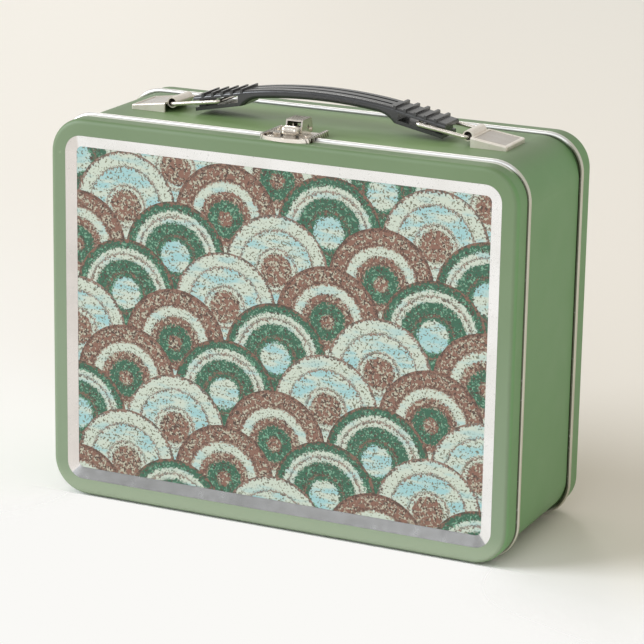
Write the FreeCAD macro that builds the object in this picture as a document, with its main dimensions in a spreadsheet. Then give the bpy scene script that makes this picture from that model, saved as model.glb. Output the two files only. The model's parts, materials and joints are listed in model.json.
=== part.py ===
import FreeCAD, Part
import os
import Sketcher
from FreeCAD import Rotation, Vector

# Tinplate lunch box that stands on its two edge beads.
# Frame: +Z up, +X to the right seen from the front, the front face towards -Y.
# The origin lies on the floor under the middle of the case. Sizes are in millimetres.

# Driving sizes: name, size, what it is
SIZES = [
    ("pan_width", 213.5, "lid and back pan, outside width"),
    ("pan_height", 167.3, "lid and back pan, outside height"),
    ("pan_corner", 15.5, "outside corner radius of the pans"),
    ("pan_edge_radius", 2.2, "rounding from a pan's face into its skirt"),
    ("case_depth", 83.3, "front face to back face"),
    ("lid_depth", 9.4, "lid, face to skirt edge"),
    ("back_depth", 10.8, "back pan, face to skirt edge"),
    ("sheet", 0.6, "tinplate of the pans and the band"),
    ("lid_clearance", 0.8, "lid skirt round the band's collar"),
    ("lid_gap", 0.5, "lid edge to the front bead"),
    ("seam_gap", 0.6, "band edge to the rear bead"),
    ("collar_reach", 4.5, "collar inside each pan's skirt"),
    ("bead_diameter", 2.4, "rolled edge beads"),
    ("bead_proud", 1.4, "beads standing out from the band"),
    ("band_corner", 17.4, "outside corner radius of the band"),
    ("seat", 0.05, "between pieces that are crimped or laid together"),
    ("frame_border", 7.1, "pan edge to the bevelled frame"),
    ("frame_corner", 7.5, "outside corner radius of the bevelled frame"),
    ("bevel_width", 4.9, "bevelled frame, seen from the front"),
    ("recess_depth", 1.8, "floor of the recess under the face"),
    ("bezel_sheet", 0.4, "bevelled frame"),
    ("panel_sheet", 0.4, "printed sheet"),
    ("hinge_spacing", 110.0, "between the middles of the two hinges"),
    ("hinge_length", 15.0, "each hinge curl"),
    ("hinge_side_gap", 0.5, "curl to the cut ends of the bead"),
    ("hinge_clearance", 0.7, "curl and leaf to the band's notch"),
    ("hinge_leaf", 0.5, "hinge leaf sheet"),
    ("leaf_reach", 5.0, "leaf on the lid skirt, from the skirt edge"),
    ("hinge_wire_diameter", 1.4, "hinge pin inside the front bead"),
    ("hinge_wire_length", 150.0, "hinge pin inside the front bead"),
    ("running", 0.05, "radial clearance of a pin in a moving piece"),
    ("fittings_x", 1.9, "middle of the handle and latch, right of the case's middle"),
    ("latch_width", 21.0, "latch plates, without the notched edges"),
    ("latch_sheet", 0.7, "latch plates, ears and hasp"),
    ("keeper_setback", 1.0, "lid face to the middle of the keeper's lip"),
    ("keeper_sweep", 2.4, "middle of the lip ahead of its ends"),
    ("keeper_back_gap", 0.25, "keeper plate to the lid edge"),
    ("lip_width", 1.0, "curled lip of the keeper"),
    ("lip_height", 0.9, "curled lip of the keeper, above its plate"),
    ("knurl_diameter", 1.8, "lobes of the notched edges"),
    ("knurl_pitch", 1.9, "lobes of the notched edges"),
    ("wing_gap", 0.4, "keeper's wings to the hasp, and to the base's lobes"),
    ("nose_diameter", 4.0, "rounded nose of the keeper"),
    ("nose_length", 7.6, "rounded nose of the keeper"),
    ("nose_rounding", 1.6, "ends of the nose"),
    ("nose_setback", 0.35, "middle of the nose ahead of the lid edge"),
    ("bead_clearance", 0.3, "nose, tongue, wings and hasp above the front bead"),
    ("tongue_width", 5.2, "keeper tongue inside the hasp"),
    ("tongue_sheet", 1.2, "keeper tongue inside the hasp"),
    ("tongue_end_gap", 0.4, "tongue end to the base's ears"),
    ("rivet_diameter", 2.0, "rivet shanks"),
    ("rivet_head_diameter", 3.4, "rivet heads"),
    ("rivet_head_height", 0.7, "rivet heads"),
    ("rivet_spacing", 14.8, "rivets in each latch plate"),
    ("keeper_rivet_setback", 3.7, "keeper rivets ahead of the lid edge"),
    ("collar_relief", 1.0, "collar cut clear of the keeper rivets"),
    ("base_setback", 0.9, "latch base behind the band's front edge"),
    ("base_depth", 10.1, "latch base, front to back"),
    ("base_rivet_setback", 4.9, "base rivets behind the base's front edge"),
    ("pin_diameter", 1.6, "hasp pivot"),
    ("pin_setback", 2.1, "hasp pivot ahead of the base's rear edge"),
    ("pin_height", 1.9, "hasp pivot above the base plate"),
    ("pin_head", 0.5, "pivot standing out of each cheek"),
    ("ear_radius", 1.5, "ears and cheeks round the pivot"),
    ("ear_side_gap", 0.25, "ears to the hasp's cheeks"),
    ("ear_top_gap", 0.4, "ears to the hasp's rear wall"),
    ("hasp_inside", 6.2, "between the hasp's cheeks"),
    ("hasp_height", 7.6, "top of the hasp above the band"),
    ("hasp_front_gap", 0.35, "nose to the hasp's cheeks"),
    ("hasp_lean", 1.6, "slope of the cheeks' front edges"),
    ("window_setback", 3.2, "middle of each cheek's window ahead of the pivot"),
    ("window_width", 2.0, "three-cornered window in each cheek"),
    ("window_height", 1.9, "three-cornered window in each cheek"),
    ("bracket_x", 70.65, "bracket trays' inner ends from the handle's middle"),
    ("bracket_length", 16.1, "bracket tray"),
    ("bracket_width", 20.6, "bracket tray"),
    ("bracket_sheet", 0.8, "bracket steel"),
    ("bracket_inner_height", 4.2, "tray at the handle end"),
    ("bracket_outer_height", 2.0, "tray at its far end"),
    ("bracket_rounding", 0.7, "outer edges of the tray"),
    ("bracket_rim", 1.2, "rim round the tray's sunken top"),
    ("bracket_sink", 0.25, "sunken top below its rim"),
    ("tab_length", 6.0, "clinched tabs under the tray's sides"),
    ("tab_foot", 3.6, "tabs bent in under the band"),
    ("tab_clearance", 0.15, "tabs in the band's slots"),
    ("knuckle_x", 68.4, "wire loops' pivots from the handle's middle"),
    ("knuckle_bore", 3.4, "rolled knuckle, inside"),
    ("knuckle_wall", 0.6, "rolled knuckle"),
    ("knuckle_length", 15.0, "rolled knuckle"),
    ("knuckle_drop", 0.5, "wire below the middle of the knuckle"),
    ("wire_diameter", 1.7, "handle loops"),
    ("loop_reach", 23.0, "pivot to the bar in the grip"),
    ("loop_angle", 8.4, "loops above level at rest, in degrees"),
    ("loop_side_gap", 0.4, "loop legs to the grip's sides"),
    ("loop_bend", 2.2, "bends of the loops, at the middle of the wire"),
    ("loop_butt", 0.8, "gap between the wire's two ends"),
    ("grip_width", 15.0, "grip, front to back"),
    ("grip_end", 58.2, "upper flap's end from the middle"),
    ("grip_low_end", 57.0, "lower flap's end from the middle"),
    ("grip_crown", 15.3, "top of the arch above the band"),
    ("grip_thickness", 3.8, "arch at its middle"),
    ("root_x", 34.4, "ends of the arch"),
    ("root_top", 12.5, "ends of the arch above the band"),
    ("gusset_x", 26.5, "where the arch starts to deepen into its ends"),
    ("flap_slope", 11.3, "flaps below level, in degrees"),
    ("upper_flap", 1.8, "upper flap, ribbed"),
    ("lower_flap", 1.6, "lower flap"),
    ("fork_gap", 3.0, "between the flaps"),
    ("fork_root", 2.6, "end of the arch to the root of the fork"),
    ("post_length", 3.2, "post between the flaps"),
    ("post_width", 10.0, "post between the flaps"),
    ("post_setback", 1.6, "post inside the upper flap's end"),
    ("rib_count", 5, "ribs on each upper flap"),
    ("rib_first", 1.0, "first rib beyond the end of the arch"),
    ("rib_pitch", 4.6, "between ribs"),
    ("rib_width", 1.1, "ribs"),
    ("rib_height", 0.9, "ribs"),
    ("groove_end", 32.5, "ends of the grooves along the arch"),
    ("groove_spacing", 5.4, "between the two grooves along the arch"),
    ("groove_width", 1.7, "grooves along the arch"),
    ("groove_depth", 0.5, "grooves along the arch"),
    ("grip_rounding", 1.5, "long edges of the arch"),
]

# Places that follow from the driving sizes. The outlines of the case are offsets from the pans' outline.
PLACES = [
    ("collar_out", "-(Dims.sheet + Dims.lid_clearance)"),
    ("collar_in", "collar_out - Dims.sheet"),
    ("bead_out", "collar_out + Dims.seat + Dims.bead_diameter"),
    ("bead_mid", "collar_out + Dims.seat + Dims.bead_diameter / 2"),
    ("band_out", "bead_out - Dims.bead_proud"),
    ("band_in", "band_out - Dims.sheet"),
    ("center_z", "Dims.pan_height / 2 + bead_out"),
    ("front_y", "-Dims.case_depth / 2"),
    ("lid_edge_y", "front_y + Dims.lid_depth"),
    ("front_bead_y", "lid_edge_y + Dims.lid_gap + Dims.bead_diameter / 2"),
    ("band_front_y", "front_bead_y + Dims.bead_diameter / 2 + Dims.seat"),
    ("pan_edge_y", "Dims.case_depth / 2 - Dims.back_depth"),
    ("rear_bead_y", "pan_edge_y - Dims.seat - Dims.bead_diameter / 2"),
    ("band_rear_y", "rear_bead_y - Dims.bead_diameter / 2 - Dims.seam_gap"),
    ("collar_front_y", "lid_edge_y - Dims.collar_reach"),
    ("collar_rear_y", "pan_edge_y + Dims.collar_reach"),
    ("lid_top_z", "center_z + Dims.pan_height / 2"),
    ("lid_floor_z", "center_z - Dims.pan_height / 2 + Dims.sheet"),
    ("band_top_z", "lid_top_z + band_out"),
    ("bead_top_z", "lid_top_z + bead_out"),
    ("frame_width", "Dims.pan_width - 2 * Dims.frame_border"),
    ("frame_height", "Dims.pan_height - 2 * Dims.frame_border"),
    ("floor_width", "frame_width - 2 * Dims.bevel_width"),
    ("floor_height", "frame_height - 2 * Dims.bevel_width"),
    ("floor_corner", "Dims.frame_corner - Dims.bevel_width"),
    ("step_y", "front_y + Dims.bezel_sheet + Dims.seat"),
    ("floor_y", "front_y + Dims.recess_depth"),
    ("hinge_z", "Dims.bead_diameter / 2"),
    ("leaf_top_z", "lid_floor_z + Dims.hinge_leaf"),
    ("notch_half", "Dims.hinge_length / 2 + Dims.hinge_side_gap"),
    ("notch_top_z", "bead_out - collar_in + Dims.hinge_clearance / 2"),
    ("bead_rise", "bead_top_z - band_top_z"),
    ("lid_rise", "bead_top_z - lid_top_z"),
    ("keeper_front_y", "front_y + Dims.keeper_setback"),
    ("keeper_end_y", "keeper_front_y + Dims.keeper_sweep"),
    ("keeper_rear_y", "lid_edge_y - Dims.keeper_back_gap"),
    ("nose_y", "lid_edge_y - Dims.nose_setback"),
    ("nose_z", "lid_rise + Dims.bead_clearance + Dims.nose_diameter / 2"),
    ("tongue_z", "lid_rise + Dims.bead_clearance + Dims.latch_sheet / 2"),
    ("wing_z", "lid_rise + Dims.bead_clearance"),
    ("wing_top", "wing_z + Dims.latch_sheet"),
    ("keeper_rivet_y", "lid_edge_y - Dims.keeper_rivet_setback"),
    ("relief_y", "keeper_rivet_y + Dims.rivet_head_diameter / 2 + Dims.collar_relief"),
    ("base_front_y", "band_front_y + Dims.base_setback"),
    ("base_rear_y", "base_front_y + Dims.base_depth"),
    ("wing_rear_y", "base_front_y - Dims.wing_gap"),
    ("base_rivet_y", "base_front_y + Dims.base_rivet_setback"),
    ("pin_y", "base_rear_y - Dims.pin_setback"),
    ("pin_z", "Dims.latch_sheet + Dims.pin_height"),
    ("ear_out", "Dims.hasp_inside / 2 - Dims.ear_side_gap"),
    ("hasp_outside", "Dims.hasp_inside + 2 * Dims.latch_sheet"),
    ("wing_in", "hasp_outside / 2 + Dims.wing_gap"),
    ("hasp_front_y", "nose_y + Dims.nose_diameter / 2 + Dims.hasp_front_gap"),
    ("hasp_floor_z", "bead_rise + Dims.bead_clearance"),
    ("hasp_wall_z", "pin_z + Dims.ear_radius + Dims.ear_top_gap"),
    ("window_y", "pin_y - Dims.window_setback"),
    ("window_z", "pin_z + Dims.ear_radius / 2"),
    ("bracket_end", "Dims.bracket_x + Dims.bracket_length"),
    ("bracket_half", "Dims.bracket_width / 2"),
    ("tab_x", "Dims.bracket_x + Dims.bracket_length / 2"),
    ("foot_top", "-(Dims.sheet + Dims.seat)"),
    ("fork_fall", "tan(Dims.flap_slope)"),
    ("fork_mid", "Dims.root_top - Dims.upper_flap - Dims.fork_gap / 2"),
    ("fork_x", "Dims.root_x + Dims.fork_root"),
    ("bar_x", "Dims.knuckle_x - Dims.loop_reach * cos(Dims.loop_angle)"),
    ("bar_z", "fork_mid - (bar_x - Dims.root_x) * fork_fall"),
    ("loop_z", "bar_z - Dims.loop_reach * sin(Dims.loop_angle)"),
    ("knuckle_z", "loop_z + Dims.knuckle_drop"),
    ("leg_y", "Dims.grip_width / 2 + Dims.loop_side_gap + Dims.wire_diameter / 2"),
]

doc = FreeCAD.newDocument("LunchBox")
nodes = []


def fill_sheet(name, rows):
    """Make a sheet with one aliased cell for each row."""
    sheet = doc.addObject("Spreadsheet::Sheet", name)
    for number, (alias, content, note) in enumerate(rows, 1):
        sheet.set("A%d" % number, alias)
        sheet.set("B%d" % number, content)
        sheet.setAlias("B%d" % number, alias)
        sheet.set("C%d" % number, note)
    return sheet


dims = fill_sheet("Dims", [(name, str(size), note) for name, size, note in SIZES])
places = fill_sheet("Places", [(name, "=" + formula, "") for name, formula in PLACES])
doc.recompute()


def number(expression):
    """Work an expression out as a plain number, for a sketch's first draft."""
    return float(places.evalExpression(expression))


def new_body(label, x="0", y="0", z="0"):
    """Start a piece whose own origin lies at the given place in the box's frame."""
    body = doc.addObject("PartDesign::Body", label)
    body.Label = label
    body.AllowCompound = True
    for axis, place in (("x", x), ("y", y), ("z", z)):
        body.setExpression(".Placement.Base." + axis, place)
    nodes.append(body)
    return body


def new_sketch(body, name, plane, offset="0"):
    """Put an empty sketch on one of the body's planes, moved along the plane's normal."""
    sketch = body.newObject("Sketcher::SketchObject", body.Label + "_" + name)
    support = [feature for feature in body.Origin.OriginFeatures if feature.Role == plane][0]
    sketch.AttachmentSupport = [(support, "")]
    sketch.MapMode = "FlatFace"
    sketch.setExpression(".AttachmentOffset.Base.z", offset)
    return sketch


def fix(sketch, kind, *where, size):
    """Add a dimension to a sketch and bind it to an expression."""
    index = sketch.addConstraint(Sketcher.Constraint(kind, *where, number(size)))
    sketch.setExpression("Constraints[%d]" % index, size)


def circle(sketch, across, up, diameter):
    """Draw a circle at a place in the sketch."""
    center = Vector(number(across), number(up), 0)
    ring = sketch.addGeometry(Part.Circle(center, Vector(0, 0, 1), number(diameter) / 2), False)
    fix(sketch, "DistanceX", -1, 1, ring, 3, size=across)
    fix(sketch, "DistanceY", -1, 1, ring, 3, size=up)
    fix(sketch, "Diameter", ring, size=diameter)


def trace(sketch, route, closed=True):
    """Draw lines through the route's corners. An entry marked "arc" bends its stretch through that point."""
    corners = [entry for entry in route if len(entry) == 2]
    stretches = []
    for entry in route:
        if len(entry) == 2:
            stretches.append([entry])
        else:
            stretches[-1].append(entry)
    if not closed:
        stretches.pop()
    ends = []
    for place, stretch in enumerate(stretches):
        start, stop = [Vector(number(h), number(v), 0)
                       for h, v in (stretch[0], corners[(place + 1) % len(corners)])]
        if len(stretch) == 1:
            edge = sketch.addGeometry(Part.LineSegment(start, stop), False)
            ends.append((edge, 1, 2))
            continue
        across, up, _ = stretch[1]
        middle = Vector(number(across), number(up), 0)
        leftwards = (middle - start).cross(stop - middle).z > 0
        bend = Part.Arc(start, middle, stop) if leftwards else Part.Arc(stop, middle, start)
        edge = sketch.addGeometry(bend, False)
        ends.append((edge, 1, 2) if leftwards else (edge, 2, 1))
        marker = sketch.addGeometry(Part.Point(middle), True)
        sketch.addConstraint(Sketcher.Constraint("PointOnObject", marker, 1, edge))
        fix(sketch, "DistanceX", -1, 1, marker, 1, size=across)
        fix(sketch, "DistanceY", -1, 1, marker, 1, size=up)
    for place, (edge, first, last) in enumerate(ends):
        across, up = corners[place]
        fix(sketch, "DistanceX", -1, 1, edge, first, size=across)
        fix(sketch, "DistanceY", -1, 1, edge, first, size=up)
        if place + 1 < len(ends) or closed:
            following, start, _ = ends[(place + 1) % len(ends)]
            sketch.addConstraint(Sketcher.Constraint("Coincident", edge, last, following, start))
    if not closed:
        edge, _, last = ends[-1]
        across, up = corners[-1]
        fix(sketch, "DistanceX", -1, 1, edge, last, size=across)
        fix(sketch, "DistanceY", -1, 1, edge, last, size=up)


def rectangle(sketch, left, right, bottom, top):
    """Draw a rectangle from the places of its four sides."""
    trace(sketch, [(left, bottom), (right, bottom), (right, top), (left, top)])


def rounded_rectangle(sketch, width, height, radius, center="Places.center_z"):
    """Draw a rectangle with round corners, centred on the sketch's upright axis."""
    half_w, half_h, r = number(width) / 2, number(height) / 2, number(radius)
    mid = number(center)
    run = [Vector(-half_w + r, mid - half_h, 0), Vector(half_w - r, mid - half_h, 0),
           Vector(half_w, mid - half_h + r, 0), Vector(half_w, mid + half_h - r, 0),
           Vector(half_w - r, mid + half_h, 0), Vector(-half_w + r, mid + half_h, 0),
           Vector(-half_w, mid + half_h - r, 0), Vector(-half_w, mid - half_h + r, 0)]
    slant = r * 0.5 ** 0.5
    corners = ((1, -1), (1, 1), (-1, 1), (-1, -1))
    hubs = [Vector(x * (half_w - r), mid + z * (half_h - r), 0) for x, z in corners]
    rims = [Vector(x * slant, z * slant, 0) for x, z in corners]
    for corner in range(4):
        start, stop, onward = [run[(2 * corner + step) % 8] for step in range(3)]
        sketch.addGeometry(Part.LineSegment(start, stop), False)
        sketch.addGeometry(Part.Arc(stop, hubs[corner] + rims[corner], onward), False)
    for edge in range(8):
        sketch.addConstraint(Sketcher.Constraint("Tangent", edge, 2, (edge + 1) % 8, 1))
    for kind, edge in (("Horizontal", 0), ("Vertical", 2), ("Horizontal", 4), ("Vertical", 6)):
        sketch.addConstraint(Sketcher.Constraint(kind, edge))
    for arc in (3, 5, 7):
        sketch.addConstraint(Sketcher.Constraint("Equal", 1, arc))
    fix(sketch, "Radius", 1, size=radius)
    fix(sketch, "DistanceX", -1, 1, 2, 1, size="(%s) / 2" % width)
    fix(sketch, "DistanceX", 6, 1, -1, 1, size="(%s) / 2" % width)
    fix(sketch, "DistanceY", -1, 1, 0, 1, size="%s - (%s) / 2" % (center, height))
    fix(sketch, "DistanceY", -1, 1, 4, 1, size="%s + (%s) / 2" % (center, height))


def case_outline(body, name, offset, y, corner=None):
    """Draw the case's outline, moved out from the pans' by an offset, at a depth in the box."""
    sketch = new_sketch(body, name, "XZ_Plane", "-(%s)" % y)
    rounded_rectangle(sketch, "Dims.pan_width + 2 * (%s)" % offset, "Dims.pan_height + 2 * (%s)" % offset,
                      corner or "Dims.pan_corner + (%s)" % offset)
    return sketch


def pad(body, sketch, length, symmetric=False, backwards=False):
    """Raise a sketch into a solid: along its plane's normal, against it, or both ways."""
    feature = body.newObject("PartDesign::Pad", sketch.Label + "_pad")
    feature.Profile = sketch
    feature.SideType = "Symmetric" if symmetric else "One side"
    feature.Reversed = backwards
    feature.setExpression("Length", length)
    doc.recompute()
    return feature


def pocket(body, sketch, length, symmetric=False):
    """Cut a sketch out of the body, against its plane's normal or both ways."""
    before = body.Shape.Volume
    feature = body.newObject("PartDesign::Pocket", sketch.Label + "_cut")
    feature.Profile = sketch
    feature.SideType = "Symmetric" if symmetric else "One side"
    feature.setExpression("Length", length)
    doc.recompute()
    if feature.Shape.Volume > before - 1e-4:
        raise RuntimeError(feature.Label + " cuts nothing")
    return feature


def loft(body, kind, first, second):
    """Join two outlines with straight sides, added to the body or cut from it."""
    feature = body.newObject("PartDesign::%sLoft" % kind, first.Label + "_loft")
    feature.Profile = first
    feature.Sections = [second]
    feature.Ruled = True
    doc.recompute()
    return feature


def pipe(body, profile, path):
    """Sweep a profile along a path."""
    feature = body.newObject("PartDesign::AdditivePipe", profile.Label + "_pipe")
    feature.Profile = profile
    feature.Spine = path
    doc.recompute()
    return feature


def fillet(body, radius, chosen):
    """Round the edges of the body's last feature that pass a test."""
    base = body.Tip
    names = ["Edge%d" % place for place, edge in enumerate(base.Shape.Edges, 1) if chosen(edge)]
    feature = body.newObject("PartDesign::Fillet", base.Label + "_rounding")
    feature.Base = (base, names)
    feature.setExpression("Radius", radius)
    doc.recompute()
    return feature


def hollow(body, wall, open_y):
    """Leave a wall of even thickness inside the body's surface, open at the face at a depth."""
    base = body.Tip
    names = ["Face%d" % place for place, face in enumerate(base.Shape.Faces, 1) if lies_at_y(face, open_y)]
    feature = body.newObject("PartDesign::Thickness", base.Label + "_shell")
    feature.Base = (base, names)
    feature.Reversed = True
    feature.setExpression("Value", wall)
    doc.recompute()
    if feature.Shape.Volume > base.Shape.Volume / 2:
        raise RuntimeError(feature.Label + " is not hollow")
    return feature


def lies_at_y(piece, y):
    """Tell whether an edge or face lies in the plane at a depth."""
    box = piece.BoundBox
    return abs(box.YMin - y) < 1e-4 and abs(box.YMax - y) < 1e-4


def drawn_pan(label, depth):
    """Pan drawn from one sheet: rounded face edge, skirt and a bevelled recess in the face."""
    body = new_body(label)
    outside = case_outline(body, "outline", "0", "Places.front_y")
    pad(body, outside, depth, backwards=True)
    face_y = number("Places.front_y")
    fillet(body, "Dims.pan_edge_radius", lambda edge: lies_at_y(edge, face_y))
    hollow(body, "Dims.sheet", number("Places.front_y + " + depth))
    # The sheet stands in by its own thickness behind the recess
    outer = ("Places.frame_width + 2 * Dims.sheet", "Places.frame_height + 2 * Dims.sheet",
             "Dims.frame_corner + Dims.sheet")
    frame = ("Places.frame_width", "Places.frame_height", "Dims.frame_corner")
    floor = ("Places.floor_width", "Places.floor_height", "Places.floor_corner")
    sections = {}
    for name, size, y in (("back_step", outer, "Places.front_y + Dims.sheet"),
                          ("back_bevel", outer, "Places.step_y + Dims.sheet"),
                          ("back_floor", floor, "Places.floor_y + Dims.sheet"),
                          ("step", frame, "Places.front_y"),
                          ("bevel", frame, "Places.step_y"),
                          ("floor", floor, "Places.floor_y")):
        sections[name] = new_sketch(body, name, "XZ_Plane", "-(%s)" % y)
        rounded_rectangle(sections[name], *size)
    pad(body, sections["back_step"], "Places.step_y - Places.front_y", backwards=True)
    loft(body, "Additive", sections["back_bevel"], sections["back_floor"])
    pocket(body, sections["step"], "Places.step_y - Places.front_y")
    loft(body, "Subtractive", sections["bevel"], sections["floor"])
    return body


def make_lid_pan():
    """Front pan, with holes for the keeper's rivets in its top skirt."""
    body = drawn_pan("lid_pan", "Dims.lid_depth")
    holes = new_sketch(body, "rivet_holes", "XY_Plane", "Places.lid_top_z + Dims.sheet")
    for side in (-1, 1):
        circle(holes, "Dims.fittings_x + %d * Dims.rivet_spacing / 2" % side, "Places.keeper_rivet_y",
               "Dims.rivet_diameter + 2 * Dims.seat")
    pocket(body, holes, "3 * Dims.sheet")


def make_back_pan():
    """Back pan: the same stamping, turned to face the other way."""
    body = drawn_pan("back_pan", "Dims.back_depth")
    body.Placement.Rotation = Rotation(Vector(0, 0, 1), 180)


def make_panel_bezel():
    """Bright bevelled frame that lines the lid's recess."""
    body = new_body("panel_bezel")
    path = new_sketch(body, "path", "XZ_Plane", "-(Places.front_y)")
    rounded_rectangle(path, "Places.frame_width - 2 * Dims.seat", "Places.frame_height - 2 * Dims.seat",
                      "Dims.frame_corner - Dims.seat")
    section = new_sketch(body, "section", "YZ_Plane", "-(Places.frame_width / 2 - Dims.frame_corner)")
    outer_z = "Places.center_z - Places.frame_height / 2 + Dims.seat"
    inner_z = "Places.center_z - Places.floor_height / 2"
    trace(section, [("Places.front_y", outer_z), ("Places.front_y + Dims.bezel_sheet", outer_z),
                    ("Places.floor_y - Dims.seat", inner_z),
                    ("Places.floor_y - Dims.seat - Dims.bezel_sheet", inner_z)])
    pipe(body, section, path)


def make_printed_panel():
    """Thin sheet on the recess floor, inside the bevelled frame."""
    body = new_body("printed_panel")
    outline = new_sketch(body, "outline", "XZ_Plane", "-(Places.floor_y - Dims.panel_sheet)")
    rounded_rectangle(outline, "Places.floor_width - 2 * Dims.seat", "Places.floor_height - 2 * Dims.seat",
                      "Places.floor_corner - Dims.seat")
    pad(body, outline, "Dims.panel_sheet", backwards=True)


def make_center_band():
    """Wrap between the pans, stepped in at both edges to a collar inside each pan's skirt."""
    body = new_body("center_band")
    wall = case_outline(body, "wall", "Places.band_out", "Places.band_front_y", "Dims.band_corner")
    pad(body, wall, "Places.band_rear_y - Places.band_front_y", backwards=True)
    collar = case_outline(body, "collar", "Places.collar_out", "Places.collar_front_y")
    pad(body, collar, "Places.collar_rear_y - Places.collar_front_y", backwards=True)
    hollow = case_outline(body, "hollow", "Places.collar_in", "Places.collar_front_y")
    pocket(body, hollow, "Places.collar_rear_y - Places.collar_front_y")
    inside = case_outline(body, "inside", "Places.band_in", "Places.band_front_y + Dims.sheet",
                          "Dims.band_corner - Dims.sheet")
    pocket(body, inside, "Places.band_rear_y - Places.band_front_y - 2 * Dims.sheet")

    notches = new_sketch(body, "hinge_notches", "XZ_Plane", "-(Places.collar_front_y - Dims.sheet)")
    for side in (-1, 1):
        middle = "%d * Dims.hinge_spacing / 2" % side
        rectangle(notches, middle + " - Places.notch_half", middle + " + Places.notch_half",
                  "-Dims.sheet", "Places.notch_top_z")
    pocket(body, notches,
           "Places.band_front_y + Dims.hinge_clearance - Places.collar_front_y + Dims.sheet")

    relief = new_sketch(body, "rivet_relief", "XZ_Plane", "-(Places.collar_front_y - Dims.sheet)")
    half = "(Dims.rivet_spacing + Dims.rivet_head_diameter) / 2 + Dims.collar_relief"
    rectangle(relief, "Dims.fittings_x - (%s)" % half, "Dims.fittings_x + (%s)" % half,
              "Places.lid_top_z - 4 * Dims.sheet - Dims.lid_clearance", "Places.lid_top_z")
    pocket(body, relief, "Places.relief_y - Places.collar_front_y + Dims.sheet")

    slots = new_sketch(body, "top_holes", "XY_Plane", "Places.band_top_z + Dims.sheet")
    for side in (-1, 1):
        circle(slots, "Dims.fittings_x + %d * Dims.rivet_spacing / 2" % side, "Places.base_rivet_y",
               "Dims.rivet_diameter + 2 * Dims.seat")
        middle = "Dims.fittings_x + %d * Places.tab_x" % side
        reach = "(Dims.tab_length / 2 + Dims.tab_clearance)"
        for edge in (-1, 1):
            near = "%d * (Places.bracket_half - Dims.bracket_sheet - Dims.tab_clearance)" % edge
            far = "%d * (Places.bracket_half + Dims.tab_clearance)" % edge
            rectangle(slots, middle + " - " + reach, middle + " + " + reach, near, far)
    pocket(body, slots, "3 * Dims.sheet")


def edge_bead(label, y):
    """Rolled bead that runs round the case at a depth."""
    body = new_body(label)
    path = case_outline(body, "path", "Places.bead_mid", y)
    section = new_sketch(body, "section", "YZ_Plane", "-(Dims.pan_width / 2 - Dims.pan_corner)")
    circle(section, y, "Places.hinge_z", "Dims.bead_diameter")
    pipe(body, section, path)
    return body


def make_front_bead():
    """Bead on the band's front edge, bored for the hinge wire and cut away at the two hinges."""
    body = edge_bead("front_bead", "Places.front_bead_y")
    bore = new_sketch(body, "bore", "YZ_Plane")
    circle(bore, "Places.front_bead_y", "Places.hinge_z", "Dims.hinge_wire_diameter + 2 * Dims.seat")
    pocket(body, bore, "Dims.hinge_wire_length + 2 * Dims.seat", symmetric=True)
    cuts = new_sketch(body, "hinge_cuts", "XZ_Plane", "-(Places.front_bead_y)")
    for side in (-1, 1):
        middle = "%d * Dims.hinge_spacing / 2" % side
        rectangle(cuts, middle + " - Places.notch_half", middle + " + Places.notch_half",
                  "-Dims.bead_diameter / 2", "1.5 * Dims.bead_diameter")
    pocket(body, cuts, "2 * Dims.bead_diameter", symmetric=True)


def make_rear_bead():
    """Bead on the back pan's edge."""
    edge_bead("rear_bead", "Places.rear_bead_y")


def make_hinge_wire():
    """Hinge pin inside the bottom run of the front bead."""
    body = new_body("hinge_wire")
    section = new_sketch(body, "section", "YZ_Plane")
    circle(section, "Places.front_bead_y", "Places.hinge_z", "Dims.hinge_wire_diameter")
    pad(body, section, "Dims.hinge_wire_length", symmetric=True)


def make_hinge_leaf(label, side):
    """Leaf on the inside of the lid's bottom skirt, curled round the hinge wire."""
    body = new_body(label, x="%d * Dims.hinge_spacing / 2" % side)
    curl = new_sketch(body, "curl", "YZ_Plane")
    circle(curl, "Places.front_bead_y", "Places.hinge_z", "Dims.bead_diameter")
    pad(body, curl, "Dims.hinge_length", symmetric=True)
    leaf = new_sketch(body, "leaf", "YZ_Plane")
    rectangle(leaf, "Places.lid_edge_y - Dims.leaf_reach", "Places.front_bead_y",
              "Places.lid_floor_z", "Places.leaf_top_z")
    pad(body, leaf, "Dims.hinge_length", symmetric=True)
    bore = new_sketch(body, "bore", "YZ_Plane")
    circle(bore, "Places.front_bead_y", "Places.hinge_z", "Dims.hinge_wire_diameter + 2 * Dims.running")
    pocket(body, bore, "2 * Dims.hinge_length", symmetric=True)


def notched_edges(body, name, first_y, lobes, floor, top):
    """Rows of round lobes along both sides of a latch plate, from the floor up to the top."""
    sketch = new_sketch(body, name, "XY_Plane", floor)
    for side in (-1, 1):
        for place in lobes:
            circle(sketch, "%d * Dims.latch_width / 2" % side,
                   "%s + Dims.knurl_pitch * %.1f" % (first_y, place + 0.5), "Dims.knurl_diameter")
    pad(body, sketch, "%s - (%s)" % (top, floor))


def rivet_holes(body, y):
    """Two holes through a latch plate."""
    holes = new_sketch(body, "rivet_holes", "XY_Plane", "2 * Dims.latch_sheet")
    for side in (-1, 1):
        circle(holes, "%d * Dims.rivet_spacing / 2" % side, y, "Dims.rivet_diameter + 2 * Dims.seat")
    pocket(body, holes, "3 * Dims.latch_sheet")


def lobes_along(depth):
    """Count the lobes that fit along a plate's side."""
    return int((number(depth) - number("Dims.knurl_diameter")) / number("Dims.knurl_pitch")) + 1


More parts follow.
